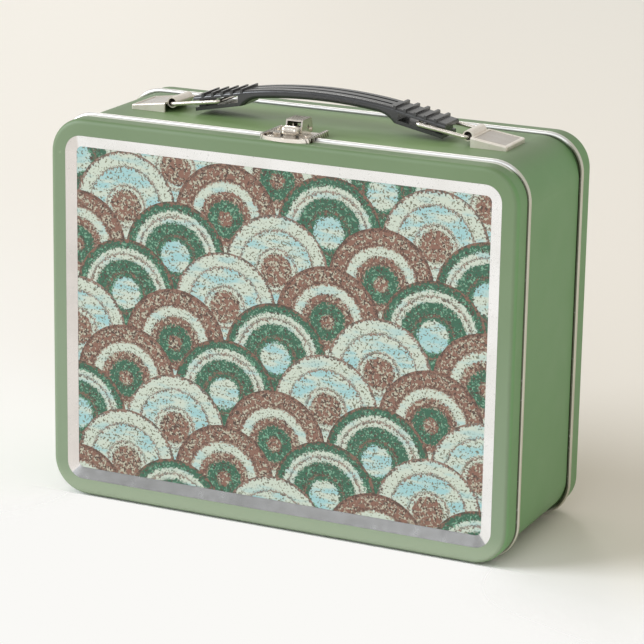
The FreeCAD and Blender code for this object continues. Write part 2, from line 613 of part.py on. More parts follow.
def make_latch_keeper():
    """Plate on the lid with a curled front lip, two wings over the bead, and a nose with a tongue."""
    body = new_body("latch_keeper", x="Dims.fittings_x", z="Places.lid_top_z")
    half = "Dims.latch_width / 2"
    plate = new_sketch(body, "plate", "XY_Plane")
    trace(plate, [("-" + half, "Places.keeper_end_y"), ("0", "Places.keeper_front_y", "arc"),
                  (half, "Places.keeper_end_y"), (half, "Places.keeper_rear_y"),
                  ("-" + half, "Places.keeper_rear_y")])
    pad(body, plate, "Dims.latch_sheet")
    lip = new_sketch(body, "lip", "XY_Plane")
    trace(lip, [("-" + half, "Places.keeper_end_y"), ("0", "Places.keeper_front_y", "arc"),
                (half, "Places.keeper_end_y"), (half + " - Dims.lip_width", "Places.keeper_end_y"),
                ("0", "Places.keeper_front_y + Dims.lip_width", "arc"),
                ("Dims.lip_width - " + half, "Places.keeper_end_y")])
    pad(body, lip, "Dims.latch_sheet + Dims.lip_height")
    for name, side in (("left_wing", -1), ("right_wing", 1)):
        wing = new_sketch(body, name, "YZ_Plane", "%d * (%s + Places.wing_in) / 2" % (side, half))
        trace(wing, [("Places.keeper_rear_y - Dims.latch_sheet", "0"), ("Places.keeper_rear_y", "0"),
                     ("Places.keeper_rear_y", "Places.wing_z"), ("Places.wing_rear_y", "Places.wing_z"),
                     ("Places.wing_rear_y", "Places.wing_top"),
                     ("Places.keeper_rear_y - Dims.latch_sheet", "Places.wing_top")])
        pad(body, wing, half + " - Places.wing_in", symmetric=True)
    on_plate = lobes_along("Places.keeper_rear_y - Places.keeper_end_y")
    in_all = lobes_along("Places.wing_rear_y - Places.keeper_end_y")
    notched_edges(body, "plate_lobes", "Places.keeper_end_y", range(on_plate), "0", "Places.wing_top")
    notched_edges(body, "wing_lobes", "Places.keeper_end_y", range(on_plate, in_all),
                  "Places.wing_z", "Places.wing_top")
    nose = new_sketch(body, "nose", "YZ_Plane")
    circle(nose, "Places.nose_y", "Places.nose_z", "Dims.nose_diameter")
    pad(body, nose, "Dims.nose_length", symmetric=True)
    end_x = number("Dims.nose_length / 2")
    fillet(body, "Dims.nose_rounding",
           lambda edge: abs(edge.BoundBox.XLength) < 1e-4 and abs(abs(edge.BoundBox.XMax) - end_x) < 1e-4)
    riser = new_sketch(body, "riser", "YZ_Plane")
    rectangle(riser, "Places.nose_y - Dims.nose_diameter / 3", "Places.keeper_rear_y", "0", "Places.nose_z")
    pad(body, riser, "Dims.tongue_width", symmetric=True)
    tongue = new_sketch(body, "tongue", "YZ_Plane")
    rectangle(tongue, "Places.nose_y", "Places.pin_y - Dims.ear_radius - Dims.tongue_end_gap",
              "Places.tongue_z", "Places.tongue_z + Dims.tongue_sheet")
    pad(body, tongue, "Dims.tongue_width", symmetric=True)
    rivet_holes(body, "Places.keeper_rivet_y")


def make_latch_base():
    """Plate on the band with two ears that hold the hasp's pivot."""
    body = new_body("latch_base", x="Dims.fittings_x", z="Places.band_top_z")
    half = "Dims.latch_width / 2"
    plate = new_sketch(body, "plate", "XY_Plane")
    rectangle(plate, "-" + half, half, "Places.base_front_y", "Places.base_rear_y")
    pad(body, plate, "Dims.latch_sheet")
    notched_edges(body, "lobes", "Places.base_front_y", range(lobes_along("Dims.base_depth")),
                  "0", "Places.wing_top - Places.band_out")
    for name, side in (("left_ear", -1), ("right_ear", 1)):
        ear = new_sketch(body, name, "YZ_Plane", "%d * (Places.ear_out - Dims.latch_sheet / 2)" % side)
        trace(ear, [("Places.pin_y - Dims.ear_radius", "0"), ("Places.pin_y + Dims.ear_radius", "0"),
                    ("Places.pin_y + Dims.ear_radius", "Places.pin_z"),
                    ("Places.pin_y", "Places.pin_z + Dims.ear_radius", "arc"),
                    ("Places.pin_y - Dims.ear_radius", "Places.pin_z")])
        pad(body, ear, "Dims.latch_sheet", symmetric=True)
    bore = new_sketch(body, "pin_bore", "YZ_Plane")
    circle(bore, "Places.pin_y", "Places.pin_z", "Dims.pin_diameter + 2 * Dims.seat")
    pocket(body, bore, "Dims.hasp_inside", symmetric=True)
    rivet_holes(body, "Places.base_rivet_y")


def make_latch_pin():
    """Pivot through the ears and the hasp's cheeks."""
    body = new_body("latch_pin", x="Dims.fittings_x", z="Places.band_top_z")
    section = new_sketch(body, "section", "YZ_Plane")
    circle(section, "Places.pin_y", "Places.pin_z", "Dims.pin_diameter")
    pad(body, section, "Places.hasp_outside + 2 * Dims.pin_head", symmetric=True)


def make_latch_hasp():
    """Box-shaped hasp with a rear wall, open at the front, that swings up about the pivot."""
    body = new_body("latch_hasp", x="Dims.fittings_x", z="Places.band_top_z")
    cheeks = new_sketch(body, "cheeks", "YZ_Plane")
    slant = "Dims.ear_radius * sqrt(0.5)"
    trace(cheeks, [("Places.hasp_front_y", "Places.hasp_floor_z"),
                   ("Places.band_front_y + Dims.bead_clearance", "Places.pin_z - Dims.ear_radius"),
                   ("Places.pin_y", "Places.pin_z - Dims.ear_radius"),
                   ("Places.pin_y + " + slant, "Places.pin_z - " + slant, "arc"),
                   ("Places.pin_y + Dims.ear_radius", "Places.pin_z"),
                   ("Places.pin_y", "Dims.hasp_height"),
                   ("Places.hasp_front_y + Dims.hasp_lean", "Dims.hasp_height")])
    pad(body, cheeks, "Places.hasp_outside", symmetric=True)
    inside = new_sketch(body, "inside", "YZ_Plane")
    front, rear = "Places.hasp_front_y - Dims.latch_sheet", "Places.pin_y + 2 * Dims.ear_radius"
    wall, roof = "Places.pin_y - Dims.latch_sheet", "Dims.hasp_height - Dims.latch_sheet"
    trace(inside, [(front, "0"), (rear, "0"), (rear, "Places.hasp_wall_z"), (wall, "Places.hasp_wall_z"),
                   (wall, roof), (front, roof)])
    pocket(body, inside, "Dims.hasp_inside", symmetric=True)
    windows = new_sketch(body, "windows", "YZ_Plane")
    trace(windows, [("Places.window_y - Dims.window_width / 2", "Places.window_z"),
                    ("Places.window_y + Dims.window_width / 2", "Places.window_z"),
                    ("Places.window_y", "Places.window_z + Dims.window_height")])
    pocket(body, windows, "2 * Places.hasp_outside", symmetric=True)
    bore = new_sketch(body, "pin_bore", "YZ_Plane")
    circle(bore, "Places.pin_y", "Places.pin_z", "Dims.pin_diameter + 2 * Dims.running")
    pocket(body, bore, "2 * Places.hasp_outside", symmetric=True)


def make_rivets(label, y, top):
    """Pair of domed rivets through a latch plate and the sheet below it."""
    body = new_body(label, x="Dims.fittings_x", y=y, z=top)
    for name, diameter, start, length, downwards in (
            ("shanks", "Dims.rivet_diameter", "-Dims.sheet", "Dims.sheet + Dims.latch_sheet", False),
            ("inner_heads", "Dims.rivet_head_diameter", "-Dims.sheet", "Dims.rivet_head_height", True),
            ("outer_heads", "Dims.rivet_head_diameter", "Dims.latch_sheet", "Dims.rivet_head_height", False)):
        sketch = new_sketch(body, name, "XY_Plane", start)
        for side in (-1, 1):
            circle(sketch, "%d * Dims.rivet_spacing / 2" % side, "0", diameter)
        pad(body, sketch, length, backwards=downwards)
    top_z = number("Dims.latch_sheet + Dims.rivet_head_height")
    fillet(body, "Dims.rivet_head_height * 0.75", lambda edge: edge.BoundBox.ZMin > top_z - 1e-4)


def make_bracket(label, side):
    """Stamped wedge tray with a rolled knuckle, held by two tabs clinched under the band."""
    body = new_body(label, x="Dims.fittings_x", z="Places.band_top_z")

    def out(expression):
        return "%d * (%s)" % (side, expression)

    tray = new_sketch(body, "tray", "XZ_Plane")
    trace(tray, [(out("Dims.bracket_x"), "0"), (out("Places.bracket_end"), "0"),
                 (out("Places.bracket_end"), "Dims.bracket_outer_height"),
                 (out("Dims.bracket_x"), "Dims.bracket_inner_height")])
    pad(body, tray, "Dims.bracket_width", symmetric=True)
    inner_x, low_z = number("Dims.bracket_x") + 1e-3, number("Dims.bracket_outer_height") - 1e-3
    fillet(body, "Dims.bracket_rounding", lambda edge: abs(edge.BoundBox.Center.x) > inner_x
           and (edge.BoundBox.ZMin > low_z or edge.BoundBox.ZLength > low_z))
    neck = new_sketch(body, "neck", "XZ_Plane")
    rectangle(neck, out("Dims.knuckle_x"), out("Dims.bracket_x + Dims.bracket_sheet"),
              "Dims.bracket_inner_height - 2 * Dims.bracket_sheet",
              "Dims.bracket_inner_height - Dims.bracket_sheet / 4")
    pad(body, neck, "Dims.knuckle_length", symmetric=True)
    knuckle = new_sketch(body, "knuckle", "XZ_Plane")
    circle(knuckle, out("Dims.knuckle_x"), "Places.knuckle_z", "Dims.knuckle_bore + 2 * Dims.knuckle_wall")
    pad(body, knuckle, "Dims.knuckle_length", symmetric=True)
    inner_end, outer_end = out("Dims.bracket_x"), out("Places.bracket_end - Dims.bracket_sheet")
    hollow = new_sketch(body, "hollow", "XZ_Plane")
    trace(hollow, [(inner_end, "-Dims.bracket_sheet"), (outer_end, "-Dims.bracket_sheet"),
                   (outer_end, "Dims.bracket_outer_height - Dims.bracket_sheet"),
                   (inner_end, "Dims.bracket_inner_height - Dims.bracket_sheet")])
    pocket(body, hollow, "Dims.bracket_width - 2 * Dims.bracket_sheet", symmetric=True)
    sunk = new_sketch(body, "sunk", "XZ_Plane")
    fall = "(Dims.bracket_inner_height - Dims.bracket_outer_height) / Dims.bracket_length"
    near, far = "Dims.bracket_rim", "(Dims.bracket_length - Dims.bracket_rim)"
    low, high = "- Dims.bracket_sink", "+ Dims.bracket_sheet"
    trace(sunk, [(out("Dims.bracket_x + " + step),
                  "Dims.bracket_inner_height - %s * %s %s" % (step, fall, lift))
                 for step, lift in ((near, low), (far, low), (far, high), (near, high))])
    pocket(body, sunk, "Dims.bracket_width - 2 * Dims.bracket_rim", symmetric=True)
    bore = new_sketch(body, "bore", "XZ_Plane")
    circle(bore, out("Dims.knuckle_x"), "Places.knuckle_z", "Dims.knuckle_bore")
    pocket(body, bore, "2 * Dims.knuckle_length", symmetric=True)
    tabs = new_sketch(body, "tabs", "YZ_Plane", out("Places.tab_x"))
    foot_floor = "Places.foot_top - Dims.bracket_sheet"
    for edge in (-1, 1):
        outer, inner, toe = ["%d * (Places.bracket_half - %s)" % (edge, step)
                             for step in ("0 * Dims.seat", "Dims.bracket_sheet", "Dims.tab_foot")]
        trace(tabs, [(inner, "Dims.bracket_sheet"), (outer, "Dims.bracket_sheet"), (outer, foot_floor),
                     (toe, foot_floor), (toe, "Places.foot_top"), (inner, "Places.foot_top")])
    pad(body, tabs, "Dims.tab_length", symmetric=True)


def make_handle_loop(label, side):
    """Wire bent to a rectangle round the grip's post, its ends meeting inside the knuckle."""
    body = new_body(label, x="Dims.fittings_x + %d * Dims.knuckle_x" % side,
                    z="Places.band_top_z + Places.loop_z")
    body.Placement.Rotation = Rotation(Vector(0, side, 0), 1)
    body.setExpression(".Placement.Rotation.Angle", "Dims.loop_angle")
    bend = "Dims.loop_bend"
    swing = "Dims.loop_bend * (1 - sqrt(0.5))"
    near, far = "0", "Dims.loop_reach"

    def out(expression):
        return "%d * (%s)" % (-side, expression)

    path = new_sketch(body, "path", "XY_Plane")
    trace(path, [(near, "Dims.loop_butt / 2"), (near, "Places.leg_y - " + bend),
                 (out(swing), "Places.leg_y - " + swing, "arc"),
                 (out(bend), "Places.leg_y"), (out(far + " - " + bend), "Places.leg_y"),
                 (out(far + " - " + swing), "Places.leg_y - " + swing, "arc"),
                 (out(far), "Places.leg_y - " + bend), (out(far), bend + " - Places.leg_y"),
                 (out(far + " - " + swing), swing + " - Places.leg_y", "arc"),
                 (out(far + " - " + bend), "-Places.leg_y"), (out(bend), "-Places.leg_y"),
                 (out(swing), swing + " - Places.leg_y", "arc"),
                 (near, bend + " - Places.leg_y"), (near, "-Dims.loop_butt / 2")], closed=False)
    section = new_sketch(body, "section", "XZ_Plane", "-Dims.loop_butt / 2")
    circle(section, "0", "0", "Dims.wire_diameter")
    pipe(body, section, path)


def make_handle_grip():
    """Arched moulded grip. Each end forks into a ribbed upper flap and a plain lower one."""
    body = new_body("handle_grip", x="Dims.fittings_x", z="Places.band_top_z")

    def flap(base, x):
        return "%s - (%s - Dims.root_x) * Places.fork_fall" % (base, x)

    top = "Dims.root_top"
    fork_top = "Dims.root_top - Dims.upper_flap"
    fork_low = fork_top + " - Dims.fork_gap"
    low = fork_low + " - Dims.lower_flap"
    arch_low = "Dims.grip_crown - Dims.grip_thickness"

    def arch_fall(x):
        return "(Dims.grip_crown - Dims.root_top) * pow(%s / Dims.root_x; 2)" % x

    shoulder_z = "%s - %s" % (arch_low, arch_fall("Dims.gusset_x"))
    right = [("Dims.root_x", top),
             ("Dims.grip_end", flap(top, "Dims.grip_end")),
             ("Dims.grip_end", flap(fork_top, "Dims.grip_end")),
             ("Places.fork_x", flap(fork_top, "Places.fork_x")),
             ("Places.fork_x", flap(fork_low, "Places.fork_x")),
             ("Dims.grip_low_end", flap(fork_low, "Dims.grip_low_end")),
             ("Dims.grip_low_end", flap(low, "Dims.grip_low_end")),
             ("Dims.root_x", low)]
    gusset = ("(Dims.gusset_x + Dims.root_x) / 2", "(%s) * 0.76 + (%s) * 0.24" % (shoulder_z, low), "arc")
    shoulder = ("Dims.gusset_x", shoulder_z)

    def mirrored(entry):
        return ("-(%s)" % entry[0],) + entry[1:]

    outline = right + [gusset, shoulder, ("0", arch_low, "arc"), mirrored(shoulder), mirrored(gusset)]
    outline += [mirrored(entry) for entry in reversed(right)] + [("0", "Dims.grip_crown", "arc")]
    side_view = new_sketch(body, "side_view", "XZ_Plane")
    trace(side_view, outline)
    pad(body, side_view, "Dims.grip_width", symmetric=True)

    arch_reach = number("2 * Dims.gusset_x") - 1e-3
    fillet(body, "Dims.grip_rounding", lambda edge: edge.BoundBox.XLength > arch_reach
           and edge.BoundBox.YLength < 1e-4)

    for name, side in (("front_groove", -1), ("rear_groove", 1)):
        groove = new_sketch(body, name, "XZ_Plane", "%d * Dims.groove_spacing / 2" % side)
        crown = "Dims.grip_crown"
        end = crown + " - Dims.groove_depth - " + arch_fall("Dims.groove_end")
        trace(groove, [("-Dims.groove_end", crown), ("-Dims.groove_end", end),
                       ("0", crown + " - Dims.groove_depth", "arc"),
                       ("Dims.groove_end", end), ("Dims.groove_end", crown)])
        pocket(body, groove, "Dims.groove_width", symmetric=True)

    post = new_sketch(body, "posts", "XZ_Plane")
    ribs = new_sketch(body, "ribs", "XZ_Plane")
    for side in (-1, 1):
        outer = "Dims.grip_end - Dims.post_setback"
        inner = outer + " - Dims.post_length"
        foot, head = fork_low + " - Dims.lower_flap / 2", fork_top + " + Dims.upper_flap / 2"
        trace(post, [("%d * (%s)" % (side, x), flap(z, "(%s)" % x))
                     for x, z in ((inner, foot), (outer, foot), (outer, head), (inner, head))])
        for rib in range(int(number("Dims.rib_count"))):
            middle = "Dims.root_x + Dims.rib_first + %d * Dims.rib_pitch" % rib
            near, far = middle + " - Dims.rib_width / 2", middle + " + Dims.rib_width / 2"
            foot, crest = top + " - Dims.upper_flap / 2", top + " + Dims.rib_height"
            trace(ribs, [("%d * (%s)" % (side, x), flap(z, "(%s)" % x))
                         for x, z in ((near, foot), (far, foot), (far, crest), (near, crest))])
    pad(body, post, "Dims.post_width", symmetric=True)
    pad(body, ribs, "Dims.grip_width", symmetric=True)


make_lid_pan()
make_panel_bezel()
make_printed_panel()
make_center_band()
make_front_bead()
make_rear_bead()
make_back_pan()
make_hinge_wire()
make_hinge_leaf("hinge_leaf_left", -1)
make_hinge_leaf("hinge_leaf_right", 1)
make_latch_keeper()
make_rivets("keeper_rivets", "Places.keeper_rivet_y", "Places.lid_top_z")
make_latch_base()
make_rivets("base_rivets", "Places.base_rivet_y", "Places.band_top_z")
make_latch_pin()
make_latch_hasp()
make_bracket("bracket_left", -1)
make_bracket("bracket_right", 1)
make_handle_loop("handle_loop_left", -1)
make_handle_loop("handle_loop_right", 1)
make_handle_grip()

doc.recompute()
for item in doc.Objects:
    if "Invalid" in item.State or "Error" in item.State:
        raise RuntimeError("%s did not build: %s" % (item.Label, item.State))
for node in nodes:
    if node.Shape.isNull() or not node.Shape.isValid():
        raise RuntimeError(node.Label + " has no valid shape")

os.makedirs("parts", exist_ok=True)
for node in nodes:
    node.Shape.exportStep("parts/%s.step" % node.Label)
    print("%-20s %d solid(s), %.1f mm3" % (node.Label, len(node.Shape.Solids), node.Shape.Volume))
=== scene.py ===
import json
import math

import bmesh
import bpy
from mathutils import Matrix, Vector


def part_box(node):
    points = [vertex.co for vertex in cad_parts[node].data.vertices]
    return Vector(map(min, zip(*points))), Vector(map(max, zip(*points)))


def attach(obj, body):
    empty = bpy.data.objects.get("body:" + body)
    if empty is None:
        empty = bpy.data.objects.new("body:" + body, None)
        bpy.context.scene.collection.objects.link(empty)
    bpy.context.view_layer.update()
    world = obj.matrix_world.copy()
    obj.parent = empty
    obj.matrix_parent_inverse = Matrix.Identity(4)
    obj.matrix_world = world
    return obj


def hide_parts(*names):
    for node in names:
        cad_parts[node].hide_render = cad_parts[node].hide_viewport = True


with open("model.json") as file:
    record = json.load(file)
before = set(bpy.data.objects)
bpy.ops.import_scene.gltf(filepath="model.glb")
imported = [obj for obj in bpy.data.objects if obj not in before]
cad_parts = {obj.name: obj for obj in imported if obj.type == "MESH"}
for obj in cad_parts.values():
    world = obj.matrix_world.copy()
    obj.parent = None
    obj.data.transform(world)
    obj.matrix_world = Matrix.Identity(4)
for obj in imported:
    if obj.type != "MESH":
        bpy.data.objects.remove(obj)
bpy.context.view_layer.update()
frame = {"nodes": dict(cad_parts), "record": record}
nodes = frame["nodes"]
scene = bpy.context.scene
scene.view_settings.view_transform = "Standard"

# Places on the object that the finishes refer to, in metres
bead_low, bead_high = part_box("front_bead")
rear_bead_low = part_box("rear_bead")[0]
bezel_low, bezel_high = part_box("panel_bezel")
keeper_low, keeper_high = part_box("latch_keeper")
hasp_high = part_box("latch_hasp")[1]
lid_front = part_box("lid_pan")[0].y
back_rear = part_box("back_pan")[1].y
middle = (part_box("center_band")[0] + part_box("center_band")[1]) / 2
latch_x = (keeper_low.x + keeper_high.x) / 2
seams = (bead_low.y, rear_bead_low.y)

# Sizes of the latch plates and the handle brackets, in metres
latch_half_width = 0.0105
lip_sweep = 0.0024
knurl_pitch = 0.0019
knuckle_reach = 0.0684
knuckle_height = 0.172093
bracket_reach = 0.0787

# Where a sheet's inner faces begin: how squarely they face inwards, and how far behind the outer face
squarely = 0.5
rim_depth = 0.003


def srgb(red, green, blue):
    """A display colour, 0 to 255, as the linear colour that a shader takes."""
    shares = [value / 255 for value in (red, green, blue)]
    return tuple(s / 12.92 if s <= 0.04045 else ((s + 0.055) / 1.055) ** 2.4 for s in shares) + (1.0,)


class Field:
    """A number that varies over a surface, with the usual arithmetic."""

    def __init__(self, tree, socket):
        self.tree = tree
        self.socket = socket

    def math(self, operation, *others):
        node = self.tree.nodes.new("ShaderNodeMath")
        node.operation = operation
        for place, value in enumerate((self,) + others):
            if isinstance(value, Field):
                self.tree.links.new(value.socket, node.inputs[place])
            else:
                node.inputs[place].default_value = value
        return Field(self.tree, node.outputs[0])

    def __add__(self, other):
        return self.math("ADD", other)

    def __sub__(self, other):
        return self.math("SUBTRACT", other)

    def __rsub__(self, other):
        return self.math("MULTIPLY_ADD", -1.0, other)

    def __mul__(self, other):
        return self.math("MULTIPLY", other)

    def __truediv__(self, other):
        return self.math("DIVIDE", other)

    def __neg__(self):
        return self * -1.0

    def __abs__(self):
        return self.math("ABSOLUTE")

    def floor(self):
        return self.math("FLOOR")

    def root(self):
        return self.math("SQRT")

    def remainder(self, other):
        return self.math("FLOORED_MODULO", other)

    def above(self, level):
        return self.math("GREATER_THAN", level)

    def larger(self, other):
        return self.math("MAXIMUM", other)

    def smaller(self, other):
        return self.math("MINIMUM", other)

    def clamped(self):
        node = self.tree.nodes.new("ShaderNodeClamp")
        self.tree.links.new(self.socket, node.inputs[0])
        return Field(self.tree, node.outputs[0])

    def step(self, low, high):
        """0 below low and 1 above high, smooth between."""
        node = self.tree.nodes.new("ShaderNodeMapRange")
        node.interpolation_type = "SMOOTHSTEP"
        self.tree.links.new(self.socket, node.inputs["Value"])
        node.inputs["From Min"].default_value = low
        node.inputs["From Max"].default_value = high
        return Field(self.tree, node.outputs["Result"])

    def spread(self, low, high):
        """Runs from low to high where this field runs from 0 to 1."""
        return self * (high - low) + low

    def near(self, levels, full, none):
        """1 up to the distance full from one of the levels, fading to 0 at the distance none."""
        nearness = None
        for level in levels:
            here = 1.0 - abs(self - level).step(full, none)
            nearness = here if nearness is None else nearness.larger(here)
        return nearness


class Finish:
    """A material on the Principled shader, with helpers for its textures."""

    colour_inputs = (6, 7)
    colour_output = 2

    def __init__(self, name, **sockets):
        self.material = bpy.data.materials.new(name)
        self.material.use_nodes = True
        self.tree = self.material.node_tree
        self.shader = self.tree.nodes["Principled BSDF"]
        for socket, value in sockets.items():
            self.shader.inputs[socket].default_value = value
        texture = self.tree.nodes.new("ShaderNodeTexCoord")
        self.place = texture.outputs["Object"]
        self.facing = texture.outputs["Normal"]

    def axes(self, vector=None):
        node = self.tree.nodes.new("ShaderNodeSeparateXYZ")
        self.tree.links.new(vector or self.place, node.inputs[0])
        return [Field(self.tree, output) for output in node.outputs]

    def stretched(self, x, y, z):
        node = self.tree.nodes.new("ShaderNodeMapping")
        node.inputs["Scale"].default_value = (x, y, z)
        self.tree.links.new(self.place, node.inputs["Vector"])
        return node.outputs["Vector"]

    def noise(self, scale, detail=2.0, place=None, distortion=0.0):
        node = self.tree.nodes.new("ShaderNodeTexNoise")
        node.inputs["Scale"].default_value = scale
        node.inputs["Detail"].default_value = detail
        node.inputs["Distortion"].default_value = distortion
        self.tree.links.new(place or self.place, node.inputs["Vector"])
        return Field(self.tree, node.outputs["Fac"])

    def blend(self, share, first, second):
        """first where share is 0 and second where it is 1. Each is a colour or another blend."""
        node = self.tree.nodes.new("ShaderNodeMix")
        node.data_type = "RGBA"
        self.tree.links.new(share.socket, node.inputs["Factor"])
        for place, value in zip(self.colour_inputs, (first, second)):
            if isinstance(value, tuple):
                node.inputs[place].default_value = value
            else:
                self.tree.links.new(value, node.inputs[place])
        return node.outputs[self.colour_output]

    def use(self, socket, value):
        self.tree.links.new(value.socket if isinstance(value, Field) else value, self.shader.inputs[socket])

    def emboss(self, height, depth):
        """Bump of the given depth in metres."""
        node = self.tree.nodes.new("ShaderNodeBump")
        node.inputs["Distance"].default_value = depth
        self.tree.links.new(height.socket, node.inputs["Height"])
        self.tree.links.new(node.outputs["Normal"], self.shader.inputs["Normal"])


def sage_paint():
    """Satin green enamel, with painted light: a lighter, greener copy on the right, a paler copy low and to
    the left on the front, painted light on the top under the grip, painted shade in the seams beside the
    beads, and a paler strip along the top beside the beads.
    """
    under_grip_depth = (0.022, 0.028)
    under_grip_reach = (0.05, 0.092)
    foot_height = (0.004, 0.016)
    seam_shade_width = (0.0001, 0.0004)
    hem_width = (0.0030, 0.0042)
    grain_depth = 0.00002
    paint = Finish("sage_paint", IOR=1.5)
    x, y, z = paint.axes()
    rightward, backward, upward = paint.axes(paint.facing)
    drift = paint.noise(14, 3).step(0.35, 0.65)
    top = upward.step(0.75, 0.95)
    front = (-backward).step(0.55, 0.98)
    # Painted light: a lighter, greener copy of the paint, used on the right side.
    right_side_painted_light = paint.blend(drift, srgb(109, 153, 100), srgb(114, 157, 105))
    sage = paint.blend(drift, srgb(97, 122, 82), srgb(102, 126, 87))
    # Painted light on the top under the grip, lightening the grip's shadow there.
    painted_light_under_grip = paint.blend(drift, srgb(116, 145, 92), srgb(121, 149, 96))
    under_grip = top * y.near([0.0], *under_grip_depth) * (1.0 - abs(x).step(*under_grip_reach))
    sage = paint.blend(under_grip, sage, painted_light_under_grip)
    # Painted light on the front: a paler copy, paler still near the foot, strongest low and to the left.
    front_painted_light = paint.blend(z.step(*foot_height), srgb(144, 158, 132), srgb(126, 143, 116))
    lower_left = (x * -1.6 - z * 5.0 + 1.15 + drift * 0.06).clamped()
    # Painted light: the lighter copy on the right side, then the paler copy on the front.
    colour = paint.blend(rightward.step(0.2, 0.9), sage, right_side_painted_light)
    colour = paint.blend(front * lower_left, colour, front_painted_light)
    rubbed = paint.noise(420, 4).step(0.70, 0.78) * paint.noise(30, 2).step(0.5, 0.7) * 0.5
    colour = paint.blend(rubbed, colour, srgb(150, 168, 138))
    # Painted shade in the seams beside the beads, on all but the top faces.
    seam_shade = (1.0 - top) * 0.3 * y.near(seams, *seam_shade_width)
    colour = paint.blend(seam_shade, colour, srgb(48, 56, 40))
    # A paler strip on the top faces beside each bead.
    hem = top * y.near([(bead_low.y + bead_high.y) / 2], *hem_width)
    paint.use("Base Color", paint.blend(hem, colour, srgb(214, 218, 206)))
    paint.use("Roughness", paint.noise(60, 4).spread(0.4, 0.56))
    paint.emboss(paint.noise(700, 2) + paint.noise(2600, 1) * 0.3, grain_depth)
    return paint.material


def bright_tin(tin, cloud):
    """Pale metal with a cloudy bloom."""
    return tin.blend(cloud, srgb(237, 236, 233), srgb(247, 246, 245))


def bead_tone_and_painted_shade(tin, cloud):
    """Beads darker all round, with painted shade, darker and yellower, down the side runs and in the seams
    beside them.
    """
    side_run = (bead_high.x - 0.0093, bead_high.x - 0.0043)
    seam_shade_width = (0.00014, 0.00026)
    x, y, _ = tin.axes()
    side = abs(x).step(*side_run)
    darker_tone = tin.blend(cloud, srgb(214, 213, 209), srgb(224, 223, 219))
    # Painted shade: a darker, yellower copy for the side runs.
    side_painted_shade = tin.blend(cloud, srgb(203, 201, 187), srgb(213, 211, 197))
    # Painted shade in the seams beside the side runs.
    seam_shade = side * y.near(seams, *seam_shade_width)
    return tin.blend(seam_shade, tin.blend(side, darker_tone, side_painted_shade), srgb(104, 106, 90))


def bezel_tone_and_painted_shade(tin, cloud):
    """A bezel with painted shade: greyer along its foot and a little darker down its left run."""
    mitre_width = (-0.0005, 0.0005)
    foot_width = (0.0060, 0.0072)
    left_width = (0.0050, 0.0062)
    x, _, z = tin.axes()
    from_foot = z - bezel_low.z
    from_left = x - bezel_low.x
    from_side = from_left.smaller(bezel_high.x - x)
    foot = (from_side - from_foot).step(*mitre_width) * (1.0 - from_foot.step(*foot_width))
    left = (1.0 - from_left.step(*left_width)) * (1.0 - foot)
    # Painted shade: a darker copy down the left run and a grey copy along the foot.
    darker_tone = tin.blend(cloud, srgb(217, 211, 206), srgb(227, 221, 216))
    foot_painted_shade = tin.blend(cloud, srgb(182, 183, 183), srgb(192, 193, 193))
    return tin.blend(foot, tin.blend(left, bright_tin(tin, cloud), darker_tone), foot_painted_shade)


def tinplate(name, dullness, tone=bright_tin):
    """Bare tinplate with fine draw lines, a cloudy tone and dull specks."""
    line_depth = 0.000006
    tin = Finish(name, Metallic=1.0)
    cloud = tin.noise(45, 4).step(0.3, 0.7)
    speck = tin.noise(900, 3).step(0.62, 0.72) * 0.35
    tin.use("Base Color", tin.blend(speck, tone(tin, cloud), srgb(196, 195, 192)))
    tin.use("Roughness", tin.noise(260, 3).spread(dullness, dullness + 0.14))
    lines = tin.noise(1, 3, tin.stretched(40, 1500, 1500))
    tin.emboss(lines * 0.6 + tin.noise(1800, 2), line_depth)
    return tin.material


def bare_inside():
    """The unpainted inner faces of the case: duller tinplate with rolling lines."""
    line_depth = 0.00001
    tin = Finish("bare_inside", Metallic=1.0)
    cloud = tin.noise(20, 5).step(0.3, 0.7)
    tin.use("Base Color", tin.blend(cloud, srgb(196, 195, 191), srgb(214, 213, 209)))
    tin.use("Roughness", tin.noise(1, 3, tin.stretched(12, 500, 500)).spread(0.36, 0.56))
    tin.emboss(tin.noise(1, 2, tin.stretched(30, 900, 900)), line_depth)
    return tin.material


def nickel(name, painted_shade=None, metal=0.9):
    """Warm nickel plate, polished by handling, with faint scratches, darker pits, and painted shade where a
    mask is given.
    """
    scratch_depth = 0.000014
    plate = Finish(name, Metallic=metal)
    cloud = plate.noise(140, 3).step(0.3, 0.7)
    tone = plate.blend(cloud, srgb(230, 222, 210), srgb(241, 235, 226))
    pits = plate.noise(1300, 3).step(0.64, 0.74) * 0.6
    colour = plate.blend(pits, tone, srgb(150, 134, 116))
    # Painted shade, dark brown, where the given mask says.
    if painted_shade:
        colour = plate.blend(painted_shade(plate), colour, srgb(62, 48, 40))
    plate.use("Base Color", colour)
    plate.use("Roughness", plate.noise(500, 3).spread(0.14, 0.3))
    scratch = plate.noise(1, 3, plate.stretched(1800, 260, 700))
    plate.emboss(scratch + plate.noise(900, 2), scratch_depth)
    return plate.material


def rope_painted_shade(plate):
    """Painted shade: dark stripes between the lobes of the latch plates' notched edges."""
    notched_from = (0.0094, 0.0099)
    stripe_width = (0.14, 0.28)
    x, y, z = plate.axes()
    outward = abs(x - latch_x)
    twist = ((y + outward + z * 0.6) / knurl_pitch).math("FRACT")
    return outward.step(*notched_from) * twist.near([0.5], *stripe_width) * 0.7


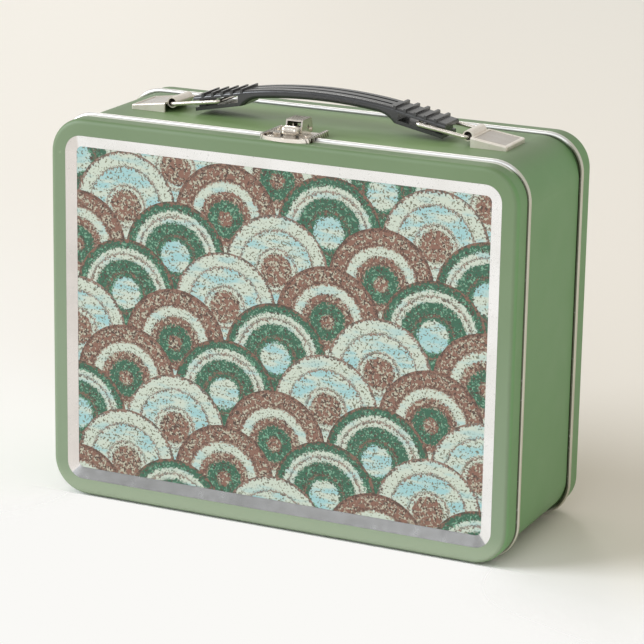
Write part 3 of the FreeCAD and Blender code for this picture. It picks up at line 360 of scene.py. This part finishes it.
def keeper_painted_shade(plate):
    """Painted shade in the hollow behind the keeper's curled lip, and between the lobes."""
    hollow_front = (0.0009, 0.0014)
    hollow_back = (0.0026, 0.0044)
    hollow_height = (0.0017, 0.0020)
    x, y, z = plate.axes()
    outward = (x - latch_x) / latch_half_width
    inward = y - outward * outward * lip_sweep - keeper_low.y
    behind = inward.step(*hollow_front) * (1.0 - inward.step(*hollow_back) * 0.75)
    under = 1.0 - (z - keeper_low.z).step(*hollow_height)
    return (behind * under).larger(rope_painted_shade(plate))


def hasp_painted_shade(plate):
    """Painted shade on the hasp's inner faces."""
    half_width_inside = (0.00311, 0.00315)
    roof = (hasp_high.z - 0.0009, hasp_high.z - 0.00076)
    x, _, z = plate.axes()
    _, backward, _ = plate.axes(plate.facing)
    between = 1.0 - abs(x - latch_x).step(*half_width_inside)
    under = 1.0 - z.step(*roof)
    return between * under * (1.0 - backward.step(0.3, 0.6))


def bracket_painted_shade(plate):
    """Painted shade on the sunken top of each bracket, leaving its rim bright, and in its knuckle's bore.
    """
    sunken_half_length = (0.0067, 0.0069)
    sunken_half_width = (0.0090, 0.0092)
    bore_radius = (0.0017, 0.0019)
    x, y, z = plate.axes()
    _, _, upward = plate.axes(plate.facing)
    outward = abs(x - latch_x)
    sunken = outward.near([bracket_reach], *sunken_half_length) * y.near([0.0], *sunken_half_width)
    # Painted shade on the upward faces of the sunken top.
    sunken_shade = sunken * upward.step(0.9, 0.96) * 0.46
    dx = outward - knuckle_reach
    dz = z - knuckle_height
    bore = 1.0 - (dx * dx + dz * dz).root().step(*bore_radius)
    # Painted shade in the knuckle's bore.
    return sunken_shade.larger(bore * 0.85)


def black_plastic():
    """Moulded black plastic with a fine grain, worn a little shinier in patches."""
    grain_depth = 0.00002
    plastic = Finish("black_plastic", IOR=1.7)
    cloud = plastic.noise(60, 3).step(0.3, 0.7)
    tone = plastic.blend(cloud, srgb(40, 41, 42), srgb(50, 51, 51))
    dust = plastic.noise(1500, 3).step(0.66, 0.76) * 0.5
    plastic.use("Base Color", plastic.blend(dust, tone, srgb(86, 86, 84)))
    plastic.use("Roughness", plastic.noise(90, 4).spread(0.14, 0.3))
    plastic.emboss(plastic.noise(2200, 2), grain_depth)
    return plastic.material


def scallops(x, z, radius):
    """Overlapping round scales in staggered rows, each row in front of the one above it.

    Gives the distance from the middle of the scale that shows, as a share of its radius, and which of
    three kinds it is: 0, 1 or 2.
    """
    rise = radius * 0.8
    rows_that_reach = (3, 2, 1, 0)
    first_row = ((z - radius) / rise).math("CEIL")
    reach = None
    family = None
    for step in rows_that_reach:
        row = first_row + float(step)
        shift = row.remainder(2.0) * radius
        column = ((x - shift) / (2 * radius) + 0.5).floor()
        dx = x - shift - column * (2 * radius)
        dz = z - row * rise
        distance = (dx * dx + dz * dz).root() / radius
        kind = (row + column * 2.0).remainder(3.0)
        if reach is None:
            reach, family = distance, kind
        else:
            outside = distance.above(1.0)
            reach = distance + (reach - distance) * outside
            family = kind + (family - kind) * outside
    return reach, family


def printed_sheet():
    """Stippled print of overlapping scallops, in rows of pale, green and rust scales."""
    scale_radius = 0.0237
    ink_depth = 0.00003
    cream = srgb(190, 199, 184)
    sky = srgb(150, 190, 191)
    rust = srgb(128, 94, 80)
    umber = srgb(76, 60, 52)
    green = srgb(54, 95, 74)
    leaf = srgb(112, 156, 130)
    olive = srgb(112, 112, 92)
    stone = srgb(176, 172, 152)
    ink = Finish("printed_sheet", IOR=1.45)
    x, _, z = ink.axes()
    reach, family = scallops(x, z, scale_radius)
    grain = ink.noise(1150, 2)
    coarse = ink.noise(760, 2, distortion=0.6)
    strokes = ink.noise(1, 3, ink.stretched(70, 70, 260))
    ragged = reach + (grain - 0.5) * 0.2

    def ring(inner, outer, soft=0.015):
        """1 between two shares of a scale's radius."""
        return ragged.step(inner - soft, inner + soft) * (1.0 - ragged.step(outer - soft, outer + soft))

    def disc(outer):
        return ring(-1.0, outer)

    speckle = coarse.step(0.46, 0.54)
    pale = ink.blend(grain.step(0.57, 0.63), cream, olive)
    pale = ink.blend(strokes.step(0.5, 0.7) * 0.6, pale, sky)
    blue = ink.blend(grain.step(0.56, 0.62), ink.blend(strokes.step(0.4, 0.6), sky, cream), olive)
    ground = ink.blend(speckle, rust, ink.blend(grain.step(0.46, 0.54), umber, stone))
    deep = ink.blend(grain.step(0.5, 0.6), green, ink.blend(speckle, leaf, umber))
    plain_scale = ink.blend(ring(0.42, 0.70), pale, blue)
    plain_scale = ink.blend(disc(0.30), plain_scale, ground)
    green_scale = ink.blend(ring(0.62, 0.82), deep, pale)
    green_scale = ink.blend(disc(0.28), green_scale, blue)
    rust_scale = ink.blend(ring(0.50, 0.66), ground, pale)
    rust_scale = ink.blend(ring(0.14, 0.34), rust_scale, deep)
    colour = ink.blend(family.above(0.5), plain_scale, green_scale)
    colour = ink.blend(family.above(1.5), colour, rust_scale)
    outline = ring(0.95, 9.0).larger(ring(0.70, 0.735)).larger(ring(0.36, 0.395))
    ink.use("Base Color", ink.blend(outline * 0.9, colour, ink.blend(speckle, umber, rust)))
    ink.use("Roughness", coarse.spread(0.38, 0.58))
    ink.emboss(grain, ink_depth)
    return ink.material


def dress_nodes():
    """Gives every node the finish of its slot, and its own variant where it takes painted shade."""
    finishes = {
        "sage_paint": sage_paint(),
        "tinplate": tinplate("tinplate", 0.18),
        "nickel": nickel("nickel"),
        "black_plastic": black_plastic(),
        "printed_sheet": printed_sheet(),
    }
    slots = {row["node"]: row["material_slot"] for row in frame["record"]["subparts"]}
    bead = tinplate("bead_tinplate", 0.34, bead_tone_and_painted_shade)
    bracket = nickel("bracket_nickel", bracket_painted_shade, metal=0.5)
    painted_shade_variants = {
        "front_bead": bead,
        "rear_bead": bead,
        "panel_bezel": tinplate("bezel_tinplate", 0.18, bezel_tone_and_painted_shade),
        "latch_keeper": nickel("keeper_nickel", keeper_painted_shade),
        "latch_base": nickel("base_nickel", rope_painted_shade),
        "latch_hasp": nickel("hasp_nickel", hasp_painted_shade),
        "bracket_left": bracket,
        "bracket_right": bracket,
    }
    for name, node in nodes.items():
        node.data.materials.clear()
        node.data.materials.append(painted_shade_variants.get(name) or finishes[slots[name]])


def lined(node_name, body, is_inner, lining):
    """A copy of a painted sheet-metal node whose inner faces are bare tinplate."""
    copy = bpy.data.objects.new(node_name + "_lined", nodes[node_name].data.copy())
    scene.collection.objects.link(copy)
    copy.data.materials.append(lining)
    for face in copy.data.polygons:
        if is_inner(face.center, face.normal):
            face.material_index = 1
    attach(copy, body)
    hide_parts(node_name)


def faces_in(center, normal):
    """True where a face of a wall looks towards the middle of the case."""
    outward = normal.x * (center.x - middle.x) + normal.z * (center.z - middle.z)
    return math.hypot(normal.x, normal.z) > squarely and outward < 0


def inside_lid(center, normal):
    """True on the back of the lid's face and on the inside of its rim."""
    return normal.y > squarely or (faces_in(center, normal) and center.y > lid_front + rim_depth)


def inside_back(center, normal):
    """True on the front of the back's face and on the inside of its rim."""
    return normal.y < -squarely or (faces_in(center, normal) and center.y < back_rear - rim_depth)


def showing_backdrop(tree):
    """1 for rays that show the backdrop: straight from the camera, off metal or through glass."""
    ray = tree.nodes.new("ShaderNodeLightPath").outputs
    seen = Field(tree, ray["Is Camera Ray"])
    for kind in ("Is Glossy Ray", "Is Transmission Ray"):
        seen = seen.larger(Field(tree, ray[kind]))
    return seen


def clear_ahead(paper, x, y):
    """Clears a patch of floor ahead of the case to the backdrop.

    The lid shows through it when it is swung down below the level on which the case stands.
    """
    patch_edge = -0.0390
    edge_width = (0.0, 0.0015)
    patch_length = (0.55, 0.75)
    patch_half_width = (0.45, 0.6)
    case_corner = 0.11
    corner_width = (0.088, 0.125)
    right_corner = (x, 0.4, (0.0, 0.055))
    left_corner = (-x, 0.7, (0.005, 0.055))
    ahead = patch_edge - y
    clear = ahead.step(*edge_width)
    for sideways, slant, fade in (right_corner, left_corner):
        slanted = (ahead - (sideways - case_corner) * slant).step(*fade)
        clear = clear * (1.0 - sideways.step(*corner_width) * (1.0 - slanted))
    clear = clear * (1.0 - ahead.step(*patch_length)) * (1.0 - abs(x).step(*patch_half_width))
    tree = paper.tree
    cleared = tree.nodes.new("ShaderNodeMixShader")
    tree.links.new((clear * showing_backdrop(tree)).socket, cleared.inputs[0])
    tree.links.new(paper.shader.outputs[0], cleared.inputs[1])
    tree.links.new(tree.nodes.new("ShaderNodeBsdfTransparent").outputs[0], cleared.inputs[2])
    tree.links.new(cleared.outputs[0], tree.nodes["Material Output"].inputs["Surface"])


def studio_floor():
    """A wide pale floor, a little darker and warmer towards the back, with painted shade to the right of
    and behind the case, where its shadow falls.
    """
    half_size = 8.0
    mesh = bmesh.new()
    bmesh.ops.create_grid(mesh, x_segments=12, y_segments=12, size=half_size)
    data = bpy.data.meshes.new("floor")
    mesh.to_mesh(data)
    mesh.free()
    floor = bpy.data.objects.new("floor", data)
    scene.collection.objects.link(floor)
    paper = Finish("floor_paper", Roughness=0.9)
    x, y, _ = paper.axes()
    cloud = paper.noise(2, 2) * 0.1
    # Painted shade: a darker, warmer floor to the right of and behind the case, where its shadow falls.
    behind_case = (x * 0.6 + y * 1.6 + cloud * 0.1).step(-0.02, 0.12)
    across_view = x * 0.907 + y * 0.422
    right_of_case = across_view.step(-0.25, 0.12)
    far = paper.blend((x + y + cloud).step(0.1, 1.6), srgb(236, 231, 223), srgb(225, 223, 217))
    near = paper.blend((y + cloud).step(-0.1, 0.6), srgb(254, 254, 254), srgb(243, 240, 234))
    paper.use("Base Color", paper.blend(behind_case * right_of_case, near, far))
    clear_ahead(paper, x, y)
    floor.visible_shadow = False
    floor.data.materials.append(paper.material)


def sun(name, towards, strength, spread, colour):
    """Light from one side, softened as by a large diffuser."""
    lamp = bpy.data.lights.new(name, "SUN")
    lamp.energy = strength
    lamp.angle = math.radians(spread)
    lamp.color = colour
    holder = bpy.data.objects.new(name, lamp)
    holder.rotation_euler = (-Vector(towards)).to_track_quat("-Z", "Y").to_euler()
    scene.collection.objects.link(holder)


def studio_world():
    """Studio surroundings: warm light from overhead, behind and the left, before a pale backdrop."""
    world = bpy.data.worlds.new("studio")
    world.use_nodes = True
    scene.world = world
    tree = world.node_tree
    axes = tree.nodes.new("ShaderNodeSeparateXYZ")
    tree.links.new(tree.nodes.new("ShaderNodeTexCoord").outputs["Generated"], axes.inputs[0])
    across, away, up = [Field(tree, output) for output in axes.outputs]
    overhead = up.step(0.25, 0.95) * 0.18
    behind = away.step(0.1, 0.9) * 0.2
    left = (-across).step(0.2, 1.0) * 0.1
    light = (overhead + behind + left + 0.36) * up.step(-0.02, 0.02)
    surroundings = tree.nodes["Background"]
    surroundings.inputs["Color"].default_value = (1.0, 0.935, 0.81, 1.0)
    tree.links.new(light.socket, surroundings.inputs["Strength"])
    dimming = (1.0 - away.step(-0.9, 0.6)) * 0.34 + 0.16
    brightness = 1.0 - up.step(-0.03, 0.03) * dimming
    backdrop = tree.nodes.new("ShaderNodeBackground")
    backdrop.inputs["Color"].default_value = srgb(250, 249, 246)
    tree.links.new(brightness.socket, backdrop.inputs["Strength"])
    shown = tree.nodes.new("ShaderNodeMixShader")
    tree.links.new(showing_backdrop(tree).socket, shown.inputs[0])
    tree.links.new(surroundings.outputs[0], shown.inputs[1])
    tree.links.new(backdrop.outputs[0], shown.inputs[2])
    tree.links.new(shown.outputs[0], tree.nodes["World Output"].inputs["Surface"])


def photo_camera():
    """The camera fitted to the straight edges of the case."""
    azimuth, elevation, roll = [math.radians(angle) for angle in (24.959, 15.9625, 0.9668)]
    distance = 1.1634
    aim = Vector((0.0219, -0.04165, 0.09495))
    along_floor = math.cos(elevation)
    back = Vector((math.sin(azimuth) * along_floor, -math.cos(azimuth) * along_floor, math.sin(elevation)))
    level = (-back).cross(Vector((0, 0, 1))).normalized()
    upright = level.cross(-back)
    right = math.cos(roll) * level + math.sin(roll) * upright
    up = math.cos(roll) * upright - math.sin(roll) * level
    lens = bpy.data.cameras.new("camera")
    lens.sensor_width = 36.0
    lens.lens = 157.66
    camera = bpy.data.objects.new("camera", lens)
    turn = Matrix((right, up, back)).transposed().to_4x4()
    turn.translation = aim + back * distance
    camera.matrix_world = turn
    scene.collection.objects.link(camera)
    scene.camera = camera


dress_nodes()
inside = bare_inside()
lined("center_band", "case", faces_in, inside)
lined("lid_pan", "lid", inside_lid, inside)
lined("back_pan", "case", inside_back, inside)
studio_floor()
studio_world()
sun("key", towards=(-0.75, -0.45, 0.47), strength=2.35, spread=34, colour=(0.89, 0.93, 1.0))
sun("fill", towards=(0.1, -0.9, 0.43), strength=0.8, spread=50, colour=(0.92, 0.95, 1.0))
sun("back", towards=(-0.38, 0.62, 0.69), strength=0.3, spread=12, colour=(1.0, 0.98, 0.95))
photo_camera()
